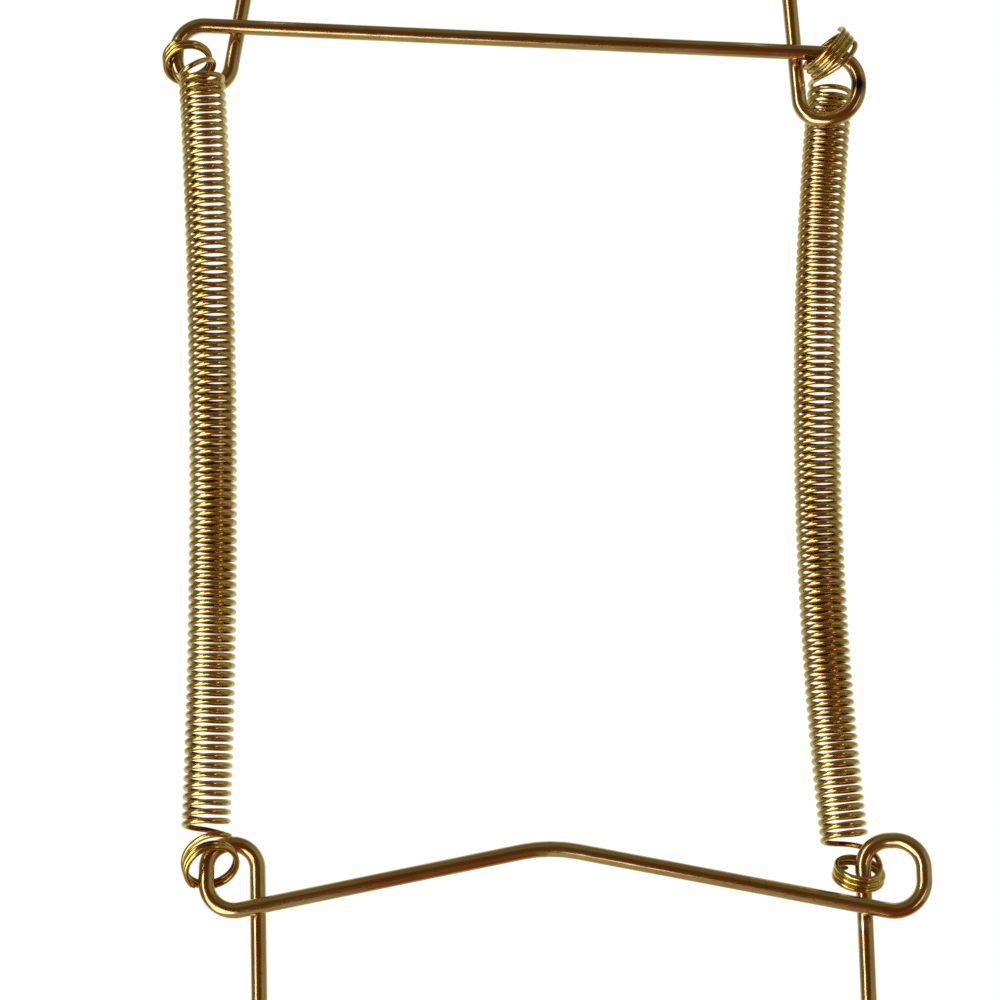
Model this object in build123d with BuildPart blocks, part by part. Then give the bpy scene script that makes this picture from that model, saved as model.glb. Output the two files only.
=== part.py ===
"""Wall display stand for one plate, a spring hanger bent from brass-plated wire.

An upper and a lower wire each carry two sleeved claws. Two extension springs hook into the
small loops of both wires and draw the claws together over the rim of the plate.

Millimetres. The origin is the middle of the upper crossbar, the bar that hangs on the wall
hook. +Z is up, +X is to the right for someone facing the plate, and the front is towards -Y.
"""
import os
from math import cos, pi, radians, sin, tan

from build123d import *

os.makedirs("parts", exist_ok=True)

# ---------------------------------------------------------------- driving dimensions

# Main wires. Each half is bent by hand, so its loop has its own size:
#   reach        from the middle of the wire to the outer strand of the loop
#   loop_width   between the two upright strands of the loop, centre to centre
#   loop_bends   radii: crossbar to outer strand, outer strand to loop's end, loop's end to tail
#   tail_lean    degrees that the tail leans towards the middle
WIRE_DIAMETER = 2.0
LOOP_STEP_BACK = 2.3       # how far behind the crossbar the tail runs
OUTER_STRAND_SHARE = 0.3   # share of the step back that the outer strand takes up
UPPER_TILT = 2.74          # degrees that the upper wire has slipped round, right end down

UPPER_LEFT = dict(
    side=-1,
    claw_side=1,
    reach=45.6,
    loop_width=7.3,
    loop_height=8.1,
    loop_bends=(3.6, 3.6, 3.5),
    tail_lean=6.0,
    tail_length=32.0,
)
UPPER_RIGHT = dict(
    side=1,
    claw_side=1,
    reach=45.7,
    loop_width=7.9,
    loop_height=8.8,
    loop_bends=(4.1, 4.4, 3.3),
    tail_lean=6.6,
    tail_length=32.0,
)
LOWER_LEFT = dict(
    side=-1,
    claw_side=-1,
    reach=44.5,
    loop_width=6.3,
    loop_height=8.6,
    loop_bends=(3.6, 3.1, 3.1),
    tail_lean=1.8,
    tail_length=34.0,
)
LOWER_RIGHT = dict(
    side=1,
    claw_side=-1,
    reach=45.6,
    loop_width=7.4,
    loop_height=9.1,
    loop_bends=(4.0, 3.7, 3.3),
    tail_lean=-0.9,
    tail_length=34.0,
)

# Place and crossbar of the lower wire
LOWER_WIRE_X = 5.2
LOWER_WIRE_Z = -116.1
CROSSBAR_RISE = 8.2        # height of the peak over the bottoms of the loops
PEAK_OFFSET = -1.4         # the peak is bent a little left of the middle
PEAK_BEND_RADIUS = 18.0

# Claws, and the vinyl sleeves on them
CLAW_BEND_RADIUS = 4.0
CLAW_REACH = 13.0          # from the tail forward to the tip, centre to centre
CLAW_LIP = 8.5             # from the claw's top to the end of its turned-in tip
SLEEVE_DIAMETER = 3.4
SLEEVE_BORE = 2.1
SLEEVE_OVERLAP = 2.5       # straight of the claw that the sleeve covers before its bend
SLEEVE_CAP = 0.8           # closed end beyond the wire
SLEEVE_END_FILLET = 0.6

# Springs
SPRING_WIRE = 0.7
SPRING_DIAMETER = 6.15     # outside
RING_PITCH = 0.78          # from turn to turn of a ring
ROUTE_POINTS_PER_TURN = 8

COIL_RADIUS = (SPRING_DIAMETER - SPRING_WIRE) / 2


def save(part, name):
    """Label one finished piece and write its file."""
    part.label = name
    export_step(part, f"parts/{name}.step")


# ---------------------------------------------------------------- routes of the main wires


def claw_corners(side, claw_side, reach, loop_width, loop_height, tail_lean, tail_length, **_):
    """Where a tail leaves its loop, and the three corners of its claw.

    Points are (across, up, forward) in the wire's own plane. side is -1 for the left half and
    1 for the right, claw_side is 1 where the claws are above the loops and -1 below them.
    """
    inner = side * (reach - loop_width)
    lean = side * tan(radians(tail_lean))
    foot = inner + lean * loop_height / 2
    head = foot - lean * (tail_length + loop_height)
    back = -LOOP_STEP_BACK
    front = back + CLAW_REACH
    end = claw_side * tail_length
    tip = end - claw_side * CLAW_LIP
    return foot, (head, end, back), (head, end, front), (head, tip, front)


def bent_half(corner_height, **half):
    """Corners of one half of a wire, from the outer end of the crossbar to the claw's tip."""
    outer = half["side"] * half["reach"]
    far = -half["claw_side"] * half["loop_height"]
    foot, *claw = claw_corners(**half)
    loop = [
        (outer, corner_height, 0),
        (outer, far, -LOOP_STEP_BACK * OUTER_STRAND_SHARE),
        (foot, far, -LOOP_STEP_BACK),
    ]
    return loop + claw


def bend_radii(half):
    """Radii at the corners of bent_half."""
    return [*half["loop_bends"], CLAW_BEND_RADIUS, CLAW_BEND_RADIUS]


upper_plane = Plane(
    origin=(0, 0, 0),
    x_dir=(cos(radians(UPPER_TILT)), 0, -sin(radians(UPPER_TILT))),
    z_dir=(0, -1, 0),
)
lower_plane = Plane(origin=(LOWER_WIRE_X, 0, LOWER_WIRE_Z), x_dir=(1, 0, 0), z_dir=(0, -1, 0))


def leg_foot(half):
    """Height at which a leg of the peaked crossbar meets the line of the loop's outer strand."""
    run_to_strand = half["reach"] - half["side"] * PEAK_OFFSET
    run_to_level = run_to_strand - half["loop_width"] / 2
    return CROSSBAR_RISE * (1 - run_to_strand / run_to_level)


# ---------------------------------------------------------------- main wires

# Upper wire, with a straight crossbar
with BuildPart() as upper_wire:
    with BuildLine(upper_plane) as upper_path:
        FilletPolyline(
            *bent_half(corner_height=0, **UPPER_LEFT)[::-1],
            *bent_half(corner_height=0, **UPPER_RIGHT),
            radius=bend_radii(UPPER_LEFT)[::-1] + bend_radii(UPPER_RIGHT),
        )
    with BuildSketch(Plane(origin=upper_path.line @ 0, z_dir=upper_path.line % 0)):
        Circle(WIRE_DIAMETER / 2)
    sweep(path=upper_path.line)
save(upper_wire.part, "upper_wire")

# Lower wire, whose crossbar rises to a blunt peak
with BuildPart() as lower_wire:
    with BuildLine(lower_plane) as lower_path:
        FilletPolyline(
            *bent_half(corner_height=leg_foot(LOWER_LEFT), **LOWER_LEFT)[::-1],
            (PEAK_OFFSET, CROSSBAR_RISE, 0),
            *bent_half(corner_height=leg_foot(LOWER_RIGHT), **LOWER_RIGHT),
            radius=bend_radii(LOWER_LEFT)[::-1] + [PEAK_BEND_RADIUS] + bend_radii(LOWER_RIGHT),
        )
    with BuildSketch(Plane(origin=lower_path.line @ 0, z_dir=lower_path.line % 0)):
        Circle(WIRE_DIAMETER / 2)
    sweep(path=lower_path.line)
save(lower_wire.part, "lower_wire")

# ---------------------------------------------------------------- claw sleeves


def sleeve_route(half, past_tip):
    """Corners of the line that a sleeve follows, from its mouth to past_tip beyond the wire."""
    _, _, (head, end, front), (_, tip, _) = claw_corners(**half)
    mouth = front - CLAW_BEND_RADIUS - SLEEVE_OVERLAP
    return (head, end, mouth), (head, end, front), (head, tip - half["claw_side"] * past_tip, front)


SLEEVES = {
    "upper_left_sleeve": (UPPER_LEFT, upper_plane),
    "upper_right_sleeve": (UPPER_RIGHT, upper_plane),
    "lower_left_sleeve": (LOWER_LEFT, lower_plane),
    "lower_right_sleeve": (LOWER_RIGHT, lower_plane),
}

for name, (half, plane) in SLEEVES.items():
    with BuildPart() as sleeve:
        with BuildLine(plane) as skin_path:
            FilletPolyline(*sleeve_route(half, SLEEVE_CAP), radius=CLAW_BEND_RADIUS)
        with BuildSketch(Plane(origin=skin_path.line @ 0, z_dir=skin_path.line % 0)):
            Circle(SLEEVE_DIAMETER / 2)
        sweep(path=skin_path.line)
        closed_end = sleeve.faces().sort_by(Axis.Z)[0 if half["claw_side"] > 0 else -1]
        fillet(closed_end.edges(), SLEEVE_END_FILLET)
        with BuildLine(plane) as bore_path:
            FilletPolyline(*sleeve_route(half, 0), radius=CLAW_BEND_RADIUS)
        with BuildSketch(Plane(origin=bore_path.line @ 0, z_dir=bore_path.line % 0)):
            Circle(SLEEVE_BORE / 2)
        sweep(path=bore_path.line, mode=Mode.SUBTRACT)
    save(sleeve.part, name)

# ---------------------------------------------------------------- springs


def smooth(share):
    """Ease from 0 to 1."""
    share = min(max(share, 0.0), 1.0)
    return share * share * (3 - 2 * share)


def spring_route(body_top, body_bottom, bow, turns, start_angle, top_ring, bottom_ring):
    """Points along one spring's wire, from the free end of its top ring to that of the bottom.

    The coil is a right-hand helix about an axis that bows sideways. At each end the wire
    leaves the coil over the ring's bend turns and closes round into the ring.
    """
    chord = body_bottom - body_top
    pitch = chord.length / turns

    def spine(share):
        point = body_top + chord * share + Vector(4 * bow * share * (1 - share), 0, 0)
        heading = (chord + Vector(4 * bow * (1 - 2 * share), 0, 0)).normalized()
        return point, heading

    def frame(heading, ring_axis, share):
        """Two directions square to the winding axis, which share swings over to ring_axis."""
        across = Vector(0, 1, 0).cross(heading).normalized()
        through = heading.cross(across)
        hinge = Axis((0, 0, 0), heading.cross(ring_axis))
        angle = share * heading.get_angle(ring_axis)
        return across.rotate(hinge, angle), through.rotate(hinge, angle)

    def end_points(way, ring):
        """Points of one ring, the nearest to the coil first. way is -1 at the top, 1 below."""
        end, heading = spine(0 if way < 0 else 1)
        axis = ring["axis"].normalized()
        reach = ring["bend_turns"] + ring["turns"]
        count = round(reach * ROUTE_POINTS_PER_TURN)
        points = []
        for index in range(1, count + 1):
            past = index / ROUTE_POINTS_PER_TURN
            share = smooth(past / ring["bend_turns"])
            across, through = frame(heading, axis, share)
            turn = -past if way < 0 else turns + past
            angle = radians(start_angle) + 2 * pi * turn
            on_coil = end + heading * (way * pitch * past)
            from_middle = past - ring["bend_turns"] - ring["turns"] / 2
            on_ring = ring["centre"] + axis * (way * RING_PITCH * from_middle)
            middle = on_coil * (1 - share) + on_ring * share
            radius = COIL_RADIUS + (ring["radius"] - COIL_RADIUS) * share
            points.append(middle + across * (radius * cos(angle)) + through * (radius * sin(angle)))
        return points

    coil = []
    steps = round(turns * ROUTE_POINTS_PER_TURN)
    for index in range(steps + 1):
        share = index / steps
        point, heading = spine(share)
        across = Vector(0, 1, 0).cross(heading).normalized()
        through = heading.cross(across)
        angle = radians(start_angle) + 2 * pi * turns * share
        coil.append(point + across * (COIL_RADIUS * cos(angle)) + through * (COIL_RADIUS * sin(angle)))
    return end_points(-1, top_ring)[::-1] + coil + end_points(1, bottom_ring)


def ring(centre, axis, diameter, turns, bend_turns):
    """An end ring. Its axis points away from the top of the spring, diameter is outside."""
    radius = (diameter - SPRING_WIRE) / 2
    return dict(
        centre=Vector(centre),
        axis=Vector(axis),
        radius=radius,
        turns=turns,
        bend_turns=bend_turns,
    )


left_route = spring_route(
    body_top=Vector(-41.9, -3.6, -6.4),
    body_bottom=Vector(-39.2, -2.6, -105.8),
    bow=1.2,
    turns=86.26,
    start_angle=340,
    top_ring=ring((-44.25, 0.52, -2.87), (0.149, -0.477, -0.866), 6.7, 2.5, 0.67),
    bottom_ring=ring((-38.74, -0.06, -110.32), (0.297, -0.662, -0.688), 7.3, 2.0, 0.90),
)

right_route = spring_route(
    body_top=Vector(42.3, 6.0, -5.0),
    body_bottom=Vector(41.2, 3.0, -106.8),
    bow=-2.6,
    turns=90.85,
    start_angle=124.3,
    top_ring=ring((41.4, -1.04, -2.355), (0.675, 0.366, -0.641), 7.7, 3.0, 0.90),
    bottom_ring=ring((42.89, 2.67, -111.06), (-0.141, 0.592, -0.794), 6.7, 2.5, 0.50),
)

for name, route in (("left_spring", left_route), ("right_spring", right_route)):
    with BuildPart() as spring:
        with BuildLine() as spring_path:
            Spline(*route)
        with BuildSketch(Plane(origin=spring_path.line @ 0, z_dir=spring_path.line % 0)):
            Circle(SPRING_WIRE / 2)
        sweep(path=spring_path.line, is_frenet=True)
    save(spring.part, name)
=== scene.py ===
"""Wall display stand for one plate: a spring hanger bent from brass-plated wire.

Smooth wires, springs and sleeves take the place of the CAD nodes, on the same dimensions.
Dimensions are in millimetres and meshes in metres, both in the CAD's frame: +Z is up, the
front is towards -Y, and the origin is the middle of the upper crossbar.
"""
from math import cos, pi, radians, sin, tan

import bpy
import numpy as np
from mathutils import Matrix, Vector


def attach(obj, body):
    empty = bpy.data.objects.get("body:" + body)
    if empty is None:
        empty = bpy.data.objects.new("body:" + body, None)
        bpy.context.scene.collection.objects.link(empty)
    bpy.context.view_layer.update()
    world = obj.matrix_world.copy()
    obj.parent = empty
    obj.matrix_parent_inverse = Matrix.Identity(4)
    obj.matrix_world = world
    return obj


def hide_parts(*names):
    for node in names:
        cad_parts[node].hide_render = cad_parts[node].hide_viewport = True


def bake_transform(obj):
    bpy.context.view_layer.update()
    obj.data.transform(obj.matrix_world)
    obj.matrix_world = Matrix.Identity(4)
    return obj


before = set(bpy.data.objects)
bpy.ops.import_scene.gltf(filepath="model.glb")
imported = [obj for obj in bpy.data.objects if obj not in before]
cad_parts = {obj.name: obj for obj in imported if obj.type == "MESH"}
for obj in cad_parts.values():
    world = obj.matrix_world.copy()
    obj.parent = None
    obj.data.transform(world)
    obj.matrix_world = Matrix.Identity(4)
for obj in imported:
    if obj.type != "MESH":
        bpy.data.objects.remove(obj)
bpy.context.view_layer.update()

MM = 0.001

# ---------------------------------------------------------------- dimensions of the stand

WIRE_RADIUS = 1.0
LOOP_STEP_BACK = 2.3
OUTER_STRAND_SHARE = 0.3
UPPER_TILT = 2.74
LOWER_WIRE_X = 5.2
LOWER_WIRE_Z = -116.1
CROSSBAR_RISE = 8.2
PEAK_OFFSET = -1.4
PEAK_BEND_RADIUS = 18.0

CLAW_BEND_RADIUS = 4.0
CLAW_REACH = 13.0
CLAW_LIP = 8.5

SLEEVE_RADIUS = 1.7
SLEEVE_BORE_RADIUS = 1.05
SLEEVE_OVERLAP = 2.5
SLEEVE_CAP = 0.8
SLEEVE_END_ROUNDING = 0.8
SLEEVE_WRINKLE = 0.012
SLEEVE_WRINKLE_RATES = (5.1, 0.9)   # radians per millimetre, of the two waves multiplied
SLEEVE_BORE_MARGIN = 0.05           # how far the bore runs past the tip of the claw

SPRING_WIRE_RADIUS = 0.35
COIL_RADIUS = 2.725
RING_PITCH = 0.78
CUT_END_ROUNDING = 0.16

UPPER_LEFT = dict(
    side=-1, claw_side=1, reach=45.6, loop_width=7.3, loop_height=8.1,
    loop_bends=(3.6, 3.6, 3.5), tail_lean=6.0, tail_length=32.0,
)
UPPER_RIGHT = dict(
    side=1, claw_side=1, reach=45.7, loop_width=7.9, loop_height=8.8,
    loop_bends=(4.1, 4.4, 3.3), tail_lean=6.6, tail_length=32.0,
)
LOWER_LEFT = dict(
    side=-1, claw_side=-1, reach=44.5, loop_width=6.3, loop_height=8.6,
    loop_bends=(3.6, 3.1, 3.1), tail_lean=1.8, tail_length=34.0,
)
LOWER_RIGHT = dict(
    side=1, claw_side=-1, reach=45.6, loop_width=7.4, loop_height=9.1,
    loop_bends=(4.0, 3.7, 3.3), tail_lean=-0.9, tail_length=34.0,
)

# bends_between: heights at which each spring would start to bend as the upper and lower wires swing;
# they are read, but nothing here bends the springs.
# The right coil stands behind the upper loop, so its bend would start only below it.
LEFT_SPRING = dict(
    bends_between=(-2.5, -110.3),
    top=(-41.9, -3.6, -6.4), bottom=(-39.2, -2.6, -105.8), bow=1.2, turns=86.26, start=340,
    top_ring=dict(centre=(-44.25, 0.52, -2.87), axis=(0.149, -0.477, -0.866),
                  diameter=6.7, turns=2.5, bend=0.67),
    bottom_ring=dict(centre=(-38.74, -0.06, -110.32), axis=(0.297, -0.662, -0.688),
                     diameter=7.3, turns=2.0, bend=0.90),
)
RIGHT_SPRING = dict(
    bends_between=(-10.0, -110.3),
    top=(42.3, 6.0, -5.0), bottom=(41.2, 3.0, -106.8), bow=-2.6, turns=90.85, start=124.3,
    top_ring=dict(centre=(41.4, -1.04, -2.355), axis=(0.675, 0.366, -0.641),
                  diameter=7.7, turns=3.0, bend=0.90),
    bottom_ring=dict(centre=(42.89, 2.67, -111.06), axis=(-0.141, 0.592, -0.794),
                     diameter=6.7, turns=2.5, bend=0.50),
)

# Mesh detail
WIRE_SIDES = 32
WIRE_STEP = 0.5            # along the straight runs
ARC_STEP = 4.0             # degrees from point to point of a bend
SPRING_SIDES = 14
SPRING_POINTS_PER_TURN = 40
SLEEVE_ROUTE_STEP = 0.25
SLEEVE_STEP = 0.35
SLEEVE_ARC_POINTS = 9
SLEEVE_END_ANGLE = 84      # degrees of the domed end, which stops short of its pole
END_COILS = 18             # turns at each end of a spring, made as a piece of its own


# ---------------------------------------------------------------- lines


def unit(vectors):
    """Vectors scaled to length 1, row by row."""
    vectors = np.asarray(vectors, float)
    return vectors / np.linalg.norm(vectors, axis=-1, keepdims=True)


def rounded(corners, radii):
    """A line through the corners, with an arc of the given radius at each inner corner."""
    corners = np.asarray(corners, float)
    line = [corners[0]]
    for before, corner, after, radius in zip(corners, corners[1:], corners[2:], radii):
        into, out = unit(before - corner), unit(after - corner)
        half = np.arccos(np.clip(into @ out, -1, 1)) / 2
        centre = corner + unit(into + out) * radius / np.sin(half)
        start = corner + into * radius / np.tan(half) - centre
        end = corner + out * radius / np.tan(half) - centre
        sweep = pi - 2 * half
        for share in np.linspace(0, 1, max(3, int(np.degrees(sweep) / ARC_STEP))):
            blend = np.sin((1 - share) * sweep) * start + np.sin(share * sweep) * end
            line.append(centre + blend / np.sin(sweep))
    line.append(corners[-1])
    return np.array(line)


def refined(line, step):
    """The same line with a point at least every step."""
    points = [line[0]]
    for a, b in zip(line, line[1:]):
        count = max(1, int(np.linalg.norm(b - a) / step))
        points += [a + (b - a) * i / count for i in range(1, count + 1)]
    return np.array(points)


def lengths_along(line):
    """Distance along the line at each of its points."""
    steps = np.linalg.norm(np.diff(line, axis=0), axis=1)
    return np.concatenate([[0.0], np.cumsum(steps)])


def frames(line):
    """Two unit vectors square to the line at each point, turning as little as they can."""
    ways = unit(np.gradient(line, axis=0))
    side = unit(np.cross(ways[0], [0.3, 0.5, 0.81]))
    sides = []
    for way in ways:
        side = unit(side - way * (side @ way))
        sides.append(side)
    sides = np.array(sides)
    return sides, np.cross(ways, sides)


# ---------------------------------------------------------------- meshes


def new_piece(name, points, faces, uvs, material):
    """A smooth-shaded mesh object from points in millimetres."""
    mesh = bpy.data.meshes.new(name)
    mesh.from_pydata((np.asarray(points) * MM).tolist(), [], faces)
    layer = mesh.uv_layers.new(name="wire")
    layer.data.foreach_set("uv", np.asarray(uvs, np.float32).ravel())
    mesh.polygons.foreach_set("use_smooth", [True] * len(mesh.polygons))
    mesh.materials.append(material)
    piece = bpy.data.objects.new(name, mesh)
    bpy.context.scene.collection.objects.link(piece)
    return piece


def skin(name, line, radii, sides, material, square=None):
    """A closed round skin about a line. UVs are turns around and millimetres along it."""
    across, through = square if square else frames(line)
    angles = np.arange(sides) * 2 * pi / sides
    cosines = np.cos(angles)[None, :, None]
    sines = np.sin(angles)[None, :, None]
    rim = cosines * across[:, None] + sines * through[:, None]
    rows = line[:, None] + rim * np.asarray(radii, float).reshape(-1, 1, 1)
    along = lengths_along(line)
    count = len(line)
    faces, uvs = [], []
    for row in range(count - 1):
        here, beyond = row * sides, (row + 1) * sides
        for i in range(sides):
            j = (i + 1) % sides
            faces.append((here + i, here + j, beyond + j, beyond + i))
            u, v = i / sides, (i + 1) / sides
            uvs += [(u, along[row]), (v, along[row]), (v, along[row + 1]), (u, along[row + 1])]
    points = rows.reshape(-1, 3)
    for row, order in ((0, -1), (count - 1, 1)):
        first = len(points)
        points = np.concatenate([points, rows[row]])
        faces.append(tuple(range(first, first + sides))[::order])
        uvs += [(0.5, along[row])] * sides
    return new_piece(name, points, faces, uvs, material)


# ---------------------------------------------------------------- materials

# Noise scales: the streaks per turn around the wire and per millimetre along it, the rest per metre
STREAK_SCALES = (34.0, 0.35, 1.0)
TONE_SCALE = 95.0
SPECK_SCALE = 1500.0
CLOUD_SCALE = 260.0
GRAIN_SCALE = 2600.0


def material(name):
    """A new material, with its nodes and links."""
    made = bpy.data.materials.new(name)
    made.use_nodes = True
    return made, made.node_tree.nodes, made.node_tree.links


def noise(nodes, links, vector, scale, detail=3.0):
    """A noise texture's value, from 0 to 1."""
    texture = nodes.new("ShaderNodeTexNoise")
    texture.inputs["Scale"].default_value = scale
    texture.inputs["Detail"].default_value = detail
    links.new(vector, texture.inputs["Vector"])
    return texture.outputs["Fac"]


def spread(nodes, links, value, low, high, to_low=0.0, to_high=1.0):
    """value from low to high, spread over to_low to to_high."""
    ranged = nodes.new("ShaderNodeMapRange")
    ranged.inputs["From Min"].default_value = low
    ranged.inputs["From Max"].default_value = high
    ranged.inputs["To Min"].default_value = to_low
    ranged.inputs["To Max"].default_value = to_high
    links.new(value, ranged.inputs["Value"])
    return ranged.outputs["Result"]


def mixed(nodes, links, share, first, second):
    """first where share is 0, second where it is 1. Each is a colour or a socket."""
    mix = nodes.new("ShaderNodeMix")
    mix.data_type = "RGBA"
    links.new(share, mix.inputs["Factor"])
    for socket, value in ((mix.inputs["A"], first), (mix.inputs["B"], second)):
        if isinstance(value, tuple):
            socket.default_value = (*value, 1.0)
        else:
            links.new(value, socket)
    return mix.outputs["Result"]


def painted_coil_shade(nodes, links, place):
    """1 on the side of a spring's wire that faces the middle of the coil, 0 on the outside: the mask
    of the painted shade inside the coil.
    """
    parts = nodes.new("ShaderNodeSeparateXYZ")
    links.new(place.outputs["UV"], parts.inputs["Vector"])
    off_middle = nodes.new("ShaderNodeMath")
    off_middle.operation = "SUBTRACT"
    off_middle.inputs[1].default_value = 0.5
    links.new(parts.outputs["X"], off_middle.inputs[0])
    size = nodes.new("ShaderNodeMath")
    size.operation = "ABSOLUTE"
    links.new(off_middle.outputs["Value"], size.inputs[0])
    return spread(nodes, links, size.outputs["Value"], 0.14, 0.27, 1.0, 0.0)


def near(nodes, links, place, spot, radius):
    """1 at a spot of the stand, in millimetres, falling to 0 at the radius."""
    gap = nodes.new("ShaderNodeVectorMath")
    gap.operation = "DISTANCE"
    gap.inputs[1].default_value = Vector(spot) * MM
    links.new(place.outputs["Object"], gap.inputs[0])
    return spread(nodes, links, gap.outputs["Value"], radius * 0.3 * MM, radius * MM, 1.0, 0.0)


def brass(name, bright, deep, worn, roughness, inside_shade=None, spots_and_glints=()):
    """Brass plate on drawn wire: streaks along the wire, slow changes of tone, dull worn specks;
    where given, painted shade on the inside of a coil and small painted spots, among them painted
    glints.
    """
    made, nodes, links = material(name)
    shader = nodes["Principled BSDF"]
    shader.inputs["Metallic"].default_value = 1.0
    place = nodes.new("ShaderNodeTexCoord")
    stretch = nodes.new("ShaderNodeMapping")
    stretch.inputs["Scale"].default_value = STREAK_SCALES
    links.new(place.outputs["UV"], stretch.inputs["Vector"])
    streaks = noise(nodes, links, stretch.outputs["Vector"], 1.0, 4.0)
    tone = noise(nodes, links, place.outputs["Object"], TONE_SCALE, 2.0)
    specks = noise(nodes, links, place.outputs["Object"], SPECK_SCALE, 3.0)

    plate = mixed(nodes, links, spread(nodes, links, tone, 0.35, 0.65), bright, deep)
    streaked = mixed(nodes, links, spread(nodes, links, streaks, 0.45, 0.75, 0.0, 0.45), plate, worn)
    worn_and_painted_light = mixed(nodes, links, spread(nodes, links, specks, 0.64, 0.74, 0.0, 0.6), streaked, worn)
    # Painted shade: the side of a spring's wire that faces into the coil is darkened to brown.
    if inside_shade:
        worn_and_painted_light = mixed(nodes, links, painted_coil_shade(nodes, links, place), worn_and_painted_light, inside_shade)
    # Small spots painted into the colour: a dark spot, and pale ones that are painted glints.
    for spot, radius, colour in spots_and_glints:
        worn_and_painted_light = mixed(nodes, links, near(nodes, links, place, spot, radius), worn_and_painted_light, colour)
    links.new(worn_and_painted_light, shader.inputs["Base Color"])
    dull = spread(nodes, links, streaks, 0.3, 0.8, roughness - 0.05, roughness + 0.1)
    links.new(dull, shader.inputs["Roughness"])

    bump = nodes.new("ShaderNodeBump")
    bump.inputs["Strength"].default_value = 0.12
    bump.inputs["Distance"].default_value = 0.00005
    links.new(streaks, bump.inputs["Height"])
    links.new(bump.outputs["Normal"], shader.inputs["Normal"])
    return made


def vinyl(name):
    """Milky soft vinyl, a little yellowed, with a faint grain."""
    made, nodes, links = material(name)
    shader = nodes["Principled BSDF"]
    shader.inputs["Subsurface Weight"].default_value = 0.35
    shader.inputs["Subsurface Radius"].default_value = (0.0012, 0.001, 0.0008)
    shader.inputs["Coat Weight"].default_value = 0.2
    shader.inputs["Coat Roughness"].default_value = 0.25
    place = nodes.new("ShaderNodeTexCoord")
    cloud = noise(nodes, links, place.outputs["Object"], CLOUD_SCALE, 3.0)
    grain = noise(nodes, links, place.outputs["Object"], GRAIN_SCALE, 2.0)
    yellowing = spread(nodes, links, cloud, 0.35, 0.7)
    colour = mixed(nodes, links, yellowing, (0.86, 0.83, 0.74), (0.76, 0.71, 0.58))
    links.new(colour, shader.inputs["Base Color"])
    links.new(spread(nodes, links, grain, 0.3, 0.7, 0.32, 0.46), shader.inputs["Roughness"])
    bump = nodes.new("ShaderNodeBump")
    bump.inputs["Strength"].default_value = 0.15
    bump.inputs["Distance"].default_value = 0.00003
    links.new(grain, bump.inputs["Height"])
    links.new(bump.outputs["Normal"], shader.inputs["Normal"])
    return made


# Small spots painted into the wire's colour, each as (where, radius, colour): a dark spot, and pale
# ones that are painted glints
# Near-black colour of a small dark spot on the upper right loop
DARK_SPOT = (0.035, 0.030, 0.022)
# Pale cream of the painted glints: small highlights painted on the wire
PAINTED_GLINT = (0.95, 0.92, 0.80)
SPOTS_AND_GLINTS = (
    ((45.3, -0.5, -6.5), 1.5, DARK_SPOT),
    ((43.2, 1.5, -117.6), 0.8, PAINTED_GLINT),
    ((49.7, -1.0, -115.8), 0.5, PAINTED_GLINT),
)

main_brass = brass(
    "main_wire_brass", (0.74, 0.57, 0.29), (0.64, 0.40, 0.17), (0.30, 0.16, 0.06), 0.16, spots_and_glints=SPOTS_AND_GLINTS
)
# Spring brass, with painted shade in dark brown on the side of the wire that faces into the coil.
spring_brass = brass(
    "spring_brass", (0.80, 0.59, 0.18), (0.66, 0.43, 0.10), (0.38, 0.22, 0.05), 0.14,
    inside_shade=(0.36, 0.17, 0.025),
)
milky_vinyl = vinyl("sleeve_vinyl")

# ---------------------------------------------------------------- main wires


def claw_corners(side, claw_side, reach, loop_width, loop_height, tail_lean, tail_length, **_):
    """Where a tail leaves its loop, then the corners of its claw, as (across, up, forward)."""
    inner = side * (reach - loop_width)
    lean = side * tan(radians(tail_lean))
    foot = inner + lean * loop_height / 2
    head = foot - lean * (tail_length + loop_height)
    back = -LOOP_STEP_BACK
    front = back + CLAW_REACH
    end = claw_side * tail_length
    tip = end - claw_side * CLAW_LIP
    return foot, (head, end, back), (head, end, front), (head, tip, front)


def bent_half(corner_height, **half):
    """Corners of one half of a wire, from the outer end of the crossbar to the claw's tip."""
    outer = half["side"] * half["reach"]
    far = -half["claw_side"] * half["loop_height"]
    foot, *claw = claw_corners(**half)
    loop = [
        (outer, corner_height, 0),
        (outer, far, -LOOP_STEP_BACK * OUTER_STRAND_SHARE),
        (foot, far, -LOOP_STEP_BACK),
    ]
    return loop + claw


def bend_radii(half):
    """Bend radii of one half of a wire, at the same corners as bent_half."""
    return [*half["loop_bends"], CLAW_BEND_RADIUS, CLAW_BEND_RADIUS]


def leg_foot(half):
    """Height at which a leg of the peaked crossbar meets the line of the loop's outer strand."""
    run_to_strand = half["reach"] - half["side"] * PEAK_OFFSET
    run_to_level = run_to_strand - half["loop_width"] / 2
    return CROSSBAR_RISE * (1 - run_to_strand / run_to_level)


def upper_frame(points):
    """(across, up, forward) in the upper wire's plane, as points of the stand."""
    across, up, forward = np.asarray(points, float).T
    c, s = cos(radians(UPPER_TILT)), sin(radians(UPPER_TILT))
    return np.stack([across * c + up * s, -forward, up * c - across * s], axis=1)


def lower_frame(points):
    """(across, up, forward) in the lower wire's plane, as points of the stand."""
    across, up, forward = np.asarray(points, float).T
    return np.stack([across + LOWER_WIRE_X, -forward, up + LOWER_WIRE_Z], axis=1)


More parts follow.
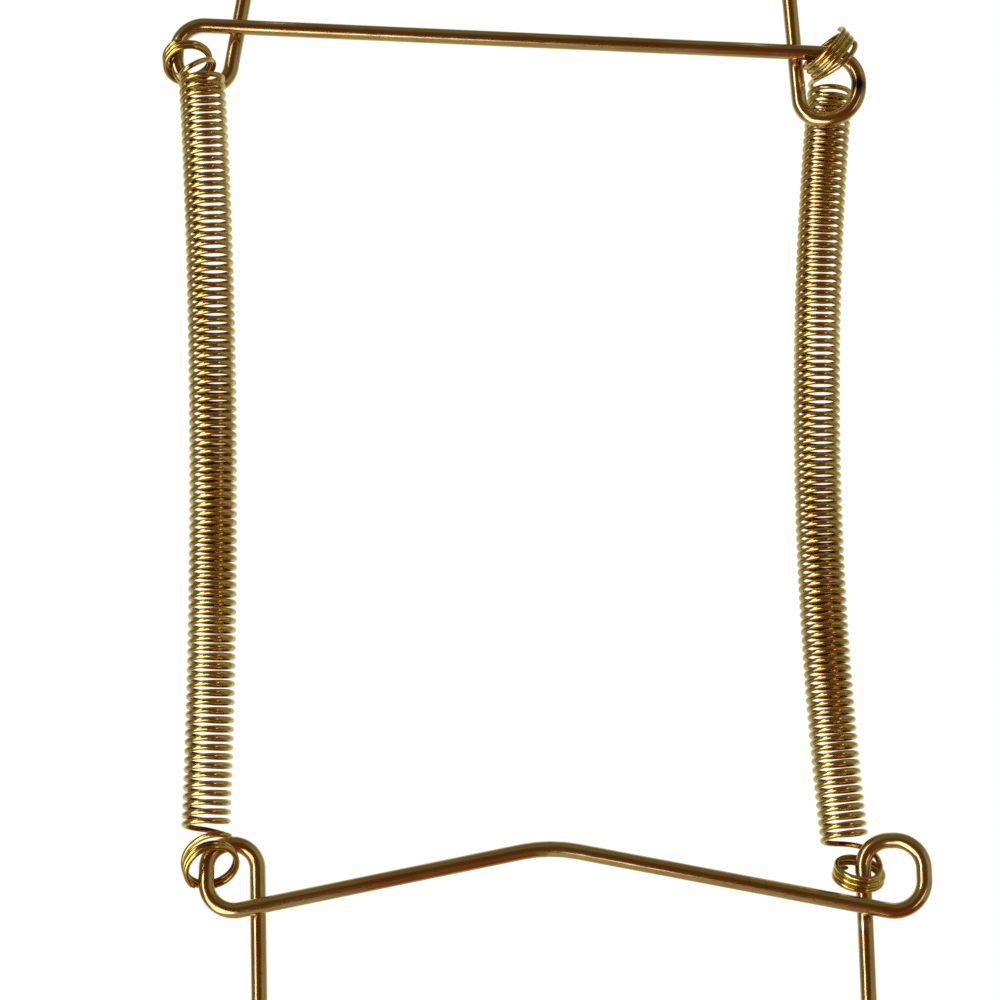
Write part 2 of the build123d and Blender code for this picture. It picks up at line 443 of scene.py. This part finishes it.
upper_corners = bent_half(0, **UPPER_LEFT)[::-1] + bent_half(0, **UPPER_RIGHT)
upper_radii = bend_radii(UPPER_LEFT)[::-1] + bend_radii(UPPER_RIGHT)
lower_corners = [
    *bent_half(leg_foot(LOWER_LEFT), **LOWER_LEFT)[::-1],
    (PEAK_OFFSET, CROSSBAR_RISE, 0),
    *bent_half(leg_foot(LOWER_RIGHT), **LOWER_RIGHT),
]
lower_radii = bend_radii(LOWER_LEFT)[::-1] + [PEAK_BEND_RADIUS] + bend_radii(LOWER_RIGHT)


def main_wire(name, corners, radii, to_stand, body):
    """One main wire, as a piece that rides on its body."""
    line = to_stand(refined(rounded(corners, radii), WIRE_STEP))
    piece = skin(name + "_skin", line, np.full(len(line), WIRE_RADIUS), WIRE_SIDES, main_brass)
    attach(piece, body)
    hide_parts(name)


main_wire("upper_wire", upper_corners, upper_radii, upper_frame, "upper_frame")
main_wire("lower_wire", lower_corners, lower_radii, lower_frame, "lower_frame")

# ---------------------------------------------------------------- sleeves


def sleeve(name, half, to_stand, body):
    """A closed-ended tube over a claw: bore, rounded mouth, outside, domed end."""
    _, _, (head, end, front), (_, tip, _) = claw_corners(**half)
    mouth = front - CLAW_BEND_RADIUS - SLEEVE_OVERLAP
    past = tip - half["claw_side"] * SLEEVE_CAP
    route = rounded([(head, end, mouth), (head, end, front), (head, past, front)], [CLAW_BEND_RADIUS])
    route = to_stand(refined(route, SLEEVE_ROUTE_STEP))
    along = lengths_along(route)
    whole = along[-1]
    lip = (SLEEVE_RADIUS - SLEEVE_BORE_RADIUS) / 2
    middle = SLEEVE_BORE_RADIUS + lip

    bore_end = whole - SLEEVE_CAP + SLEEVE_BORE_MARGIN
    profile = [(distance, SLEEVE_BORE_RADIUS) for distance in np.arange(bore_end, 0.5, -SLEEVE_STEP)]
    for angle in np.linspace(-90, 90, SLEEVE_ARC_POINTS):
        turn = radians(angle)
        profile.append((lip * (1 - cos(turn)), middle + lip * sin(turn)))
    fine, slow = SLEEVE_WRINKLE_RATES
    for distance in np.arange(0.8, whole - 0.9, SLEEVE_STEP):
        wrinkle = SLEEVE_WRINKLE * sin(distance * fine) * sin(distance * slow)
        profile.append((distance, SLEEVE_RADIUS - SLEEVE_WRINKLE + wrinkle))
    for angle in np.linspace(0, SLEEVE_END_ANGLE, SLEEVE_ARC_POINTS):
        turn = radians(angle)
        distance = whole - SLEEVE_END_ROUNDING + SLEEVE_END_ROUNDING * sin(turn)
        radius = SLEEVE_RADIUS - SLEEVE_END_ROUNDING + SLEEVE_END_ROUNDING * cos(turn)
        profile.append((distance, radius))

    distances = np.array([p[0] for p in profile])
    line = np.stack([np.interp(distances, along, route[:, k]) for k in range(3)], axis=1)
    across, through = frames(route)
    square = [
        unit(np.stack([np.interp(distances, along, side[:, k]) for k in range(3)], axis=1))
        for side in (across, through)
    ]
    piece = skin(name + "_skin", line, [p[1] for p in profile], WIRE_SIDES, milky_vinyl, square)
    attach(piece, body)
    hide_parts(name)


sleeve("upper_left_sleeve", UPPER_LEFT, upper_frame, "upper_frame")
sleeve("upper_right_sleeve", UPPER_RIGHT, upper_frame, "upper_frame")
sleeve("lower_left_sleeve", LOWER_LEFT, lower_frame, "lower_frame")
sleeve("lower_right_sleeve", LOWER_RIGHT, lower_frame, "lower_frame")

# ---------------------------------------------------------------- springs


def turned(vectors, axis, angles):
    """Vectors turned about one unit axis, each by its own angle."""
    c, s = np.cos(angles)[:, None], np.sin(angles)[:, None]
    return vectors * c + np.cross(axis, vectors) * s + axis * (vectors @ axis)[:, None] * (1 - c)


def spring_line(top, bottom, bow, turns, start, top_ring, bottom_ring, **_):
    """Points along a spring's wire, the way out of the coil at each, and turns from its top."""
    top, bottom = np.array(top), np.array(bottom)
    chord = bottom - top
    pitch = np.linalg.norm(chord) / turns

    def spine(share):
        point = top + chord * share[:, None]
        point[:, 0] += 4 * bow * share * (1 - share)
        heading = np.repeat(chord[None], len(share), axis=0)
        heading[:, 0] += 4 * bow * (1 - 2 * share)
        return point, unit(heading)

    def on_circle(middle, across, through, radius, turn):
        angle = (radians(start) + 2 * pi * turn)[:, None]
        return middle + radius[:, None] * (across * np.cos(angle) + through * np.sin(angle))

    def ring_points(way, ring):
        reach = ring["bend"] + ring["turns"]
        past = np.arange(1, round(reach * SPRING_POINTS_PER_TURN) + 1) / SPRING_POINTS_PER_TURN
        end, heading = spine(np.array([0.0 if way < 0 else 1.0]))
        axis = unit(ring["axis"])
        share = np.minimum(past / ring["bend"], 1)
        share = share * share * (3 - 2 * share)
        across = unit(np.cross([0.0, 1.0, 0.0], heading[0]))
        through = np.cross(heading[0], across)
        hinge = unit(np.cross(heading[0], axis))
        swing = share * np.arccos(heading[0] @ axis)
        ones = np.ones((len(past), 1))
        from_middle = past - ring["bend"] - ring["turns"] / 2
        on_coil = end + heading * (way * pitch * past)[:, None]
        on_ring = np.array(ring["centre"]) + axis * (way * RING_PITCH * from_middle)[:, None]
        middle = on_coil * (1 - share)[:, None] + on_ring * share[:, None]
        ring_radius = ring["diameter"] / 2 - SPRING_WIRE_RADIUS
        radius = COIL_RADIUS + (ring_radius - COIL_RADIUS) * share
        turn = -past if way < 0 else turns + past
        ring_across = turned(across * ones, hinge, swing)
        ring_through = turned(through * ones, hinge, swing)
        points = on_circle(middle, ring_across, ring_through, radius, turn)
        return points, points - middle, turn

    turn = np.linspace(0, turns, round(turns * SPRING_POINTS_PER_TURN) + 1)
    middle, heading = spine(turn / turns)
    across = unit(np.cross([0.0, 1.0, 0.0], heading))
    coil = on_circle(middle, across, np.cross(heading, across), np.full(len(turn), COIL_RADIUS), turn)
    upper, upper_out, upper_turn = ring_points(-1, top_ring)
    lower, lower_out, lower_turn = ring_points(1, bottom_ring)
    line = np.concatenate([upper[::-1], coil, lower])
    outward = np.concatenate([upper_out[::-1], coil - middle, lower_out])
    return line, outward, np.concatenate([upper_turn[::-1], turn, lower_turn])


def end_radii(line):
    """The wire's radius along it, with a rounded-off cut at both free ends."""
    along = lengths_along(line)
    to_end = np.minimum(along, along[-1] - along)
    share = np.clip(to_end / CUT_END_ROUNDING, 0, 1)
    return SPRING_WIRE_RADIUS - CUT_END_ROUNDING * (1 - np.sqrt(1 - (1 - share) ** 2))


def spring(name, spec):
    """One spring in three pieces: the turns at its two ends and its middle."""
    line, outward, turn = spring_line(**spec)
    ways = unit(np.gradient(line, axis=0))
    across = unit(outward - ways * np.sum(outward * ways, axis=1)[:, None])
    through = np.cross(ways, across)
    radii = end_radii(line)
    last = spec["turns"]
    top, bottom = Vector(spec["top"]) * MM, Vector(spec["bottom"]) * MM
    low_top = top.lerp(bottom, END_COILS / last)
    high_bottom = top.lerp(bottom, 1 - END_COILS / last)
    upper_bend, lower_bend = spec["bends_between"]
    bend_top = Vector((top.x, top.y, upper_bend * MM))
    bend_bottom = Vector((bottom.x, bottom.y, lower_bend * MM))
    pieces = (
        ("top", "upper_frame", "spring_tops", bend_top, low_top),
        ("coil", "spring_tops", "spring_feet", low_top, high_bottom),
        ("bottom", "spring_feet", "lower_frame", high_bottom, bend_bottom),
    )
    cuts = np.searchsorted(turn, [END_COILS, last - END_COILS])
    spans = ((0, cuts[0] + 1), (cuts[0], cuts[1] + 1), (cuts[1], len(line)))
    for (part, before, after, start, end), (a, b) in zip(pieces, spans):
        piece = skin(
            f"{name}_{part}", line[a:b], radii[a:b], SPRING_SIDES, spring_brass,
            (across[a:b], through[a:b]),
        )
        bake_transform(piece)
        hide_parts(name)


spring("left_spring", LEFT_SPRING)
spring("right_spring", RIGHT_SPRING)

# ---------------------------------------------------------------- stage, light and camera

# In metres
FLOOR_SIZE = 30.0
FLOOR_HEIGHT = -0.55
MIDDLE = (0.0, 0.0, -0.06)

bpy.ops.mesh.primitive_plane_add(size=FLOOR_SIZE, location=(0, 0, FLOOR_HEIGHT))
floor = bpy.context.object
floor.name = "floor"
matte, nodes, _ = material("floor_matte")
nodes["Principled BSDF"].inputs["Base Color"].default_value = (0.88, 0.88, 0.87, 1.0)
nodes["Principled BSDF"].inputs["Roughness"].default_value = 0.9
floor.data.materials.append(matte)
floor.visible_glossy = False


def softbox(name, location, width, height, radiance, colour):
    """An evenly bright rectangle facing the middle of the stand, for the metal to reflect."""
    data = bpy.data.lights.new(name, "AREA")
    data.shape = "RECTANGLE"
    data.size = width
    data.size_y = height
    data.energy = radiance * pi * width * height
    data.color = colour
    light = bpy.data.objects.new(name, data)
    light.location = location
    light.rotation_euler = (Vector(MIDDLE) - Vector(location)).to_track_quat("-Z", "Y").to_euler()
    light.visible_diffuse = False
    bpy.context.scene.collection.objects.link(light)


def brown_card(name, size, location):
    """A dark red-brown sheet that only reflections see."""
    bpy.ops.mesh.primitive_plane_add(size=size, location=location)
    card = bpy.context.object
    card.name = name
    paper, nodes, links = material(name + "_paper")
    nodes.clear()
    glow = nodes.new("ShaderNodeEmission")
    glow.inputs["Color"].default_value = (0.20, 0.062, 0.014, 1.0)
    out = nodes.new("ShaderNodeOutputMaterial")
    links.new(glow.outputs["Emission"], out.inputs["Surface"])
    card.data.materials.append(paper)
    card.visible_camera = False
    card.visible_diffuse = False
    card.visible_shadow = False


daylight_data = bpy.data.lights.new("daylight", "SUN")
daylight_data.energy = 2.9
daylight_data.angle = radians(120)
daylight = bpy.data.objects.new("daylight", daylight_data)
daylight.rotation_euler = (radians(25), radians(-15), 0)
daylight.visible_glossy = False
bpy.context.scene.collection.objects.link(daylight)
softbox(
    "left_window", (-0.76, -0.68, 0.06), width=0.32, height=0.84, radiance=3.6,
    colour=(1.0, 0.98, 0.90),
)
softbox(
    "right_window", (0.66, -0.76, -0.30), width=0.12, height=0.44, radiance=2.0,
    colour=(1.0, 0.97, 0.88),
)
softbox(
    "low_table", (-0.26, -0.25, -0.36), width=0.46, height=0.34, radiance=2.4,
    colour=(1.0, 0.98, 0.92),
)
brown_card("brown_card", 0.6, (0.32, -0.20, -0.365))

world = bpy.data.worlds.new("studio")
world.use_nodes = True
bpy.context.scene.world = world
sky, wires = world.node_tree.nodes, world.node_tree.links
sky.clear()
direction = sky.new("ShaderNodeTexCoord")


def facing(way, low, high):
    """1 where the direction is close to way, falling to 0. low and high are cosines."""
    dot = sky.new("ShaderNodeVectorMath")
    dot.operation = "DOT_PRODUCT"
    dot.inputs[1].default_value = Vector(way).normalized()
    wires.new(direction.outputs["Generated"], dot.inputs[0])
    ranged = sky.new("ShaderNodeMapRange")
    ranged.interpolation_type = "SMOOTHSTEP"
    ranged.inputs["From Min"].default_value = low
    ranged.inputs["From Max"].default_value = high
    wires.new(dot.outputs["Value"], ranged.inputs["Value"])
    return ranged.outputs["Result"]


# What the metal reflects: a dim olive room with a paler floor, a pale wall behind the stand
# and a dark brown one behind the camera
room = mixed(sky, wires, facing((0.0, 1.0, 0.1), 0.25, 0.85), (0.17, 0.155, 0.09), (0.74, 0.78, 0.66))
room = mixed(sky, wires, facing((1.0, -0.25, 0.1), 0.55, 0.95), room, (0.34, 0.33, 0.19))
room = mixed(sky, wires, facing((0.0, 0.1, -1.0), 0.35, 0.90), room, (0.43, 0.41, 0.28))
room = mixed(sky, wires, facing((0.05, -1.0, -0.2), 0.50, 0.88), room, (0.11, 0.046, 0.013))
reflected = sky.new("ShaderNodeBackground")
wires.new(room, reflected.inputs["Color"])
seen = sky.new("ShaderNodeBackground")
seen.inputs["Color"].default_value = (1.0, 1.0, 1.0, 1.0)
ray = sky.new("ShaderNodeLightPath")
choice = sky.new("ShaderNodeMixShader")
wires.new(ray.outputs["Is Camera Ray"], choice.inputs["Fac"])
wires.new(reflected.outputs["Background"], choice.inputs[1])
wires.new(seen.outputs["Background"], choice.inputs[2])
output = sky.new("ShaderNodeOutputWorld")
wires.new(choice.outputs["Shader"], output.inputs["Surface"])

bpy.context.scene.view_settings.view_transform = "Standard"

# In millimetres
CAMERA_PLACE = (-2.45, -370.3, -148.7)
CAMERA_AIM = (-2.45, 0.0, -63.25)
camera_data = bpy.data.cameras.new("camera")
camera_data.lens = 106.0
camera_data.sensor_width = 36.0
camera_data.clip_start = 0.01
camera = bpy.data.objects.new("camera", camera_data)
camera.location = Vector(CAMERA_PLACE) * MM
aim = Vector(CAMERA_AIM) * MM
camera.rotation_euler = (aim - camera.location).to_track_quat("-Z", "Y").to_euler()
bpy.context.scene.collection.objects.link(camera)
bpy.context.scene.camera = camera
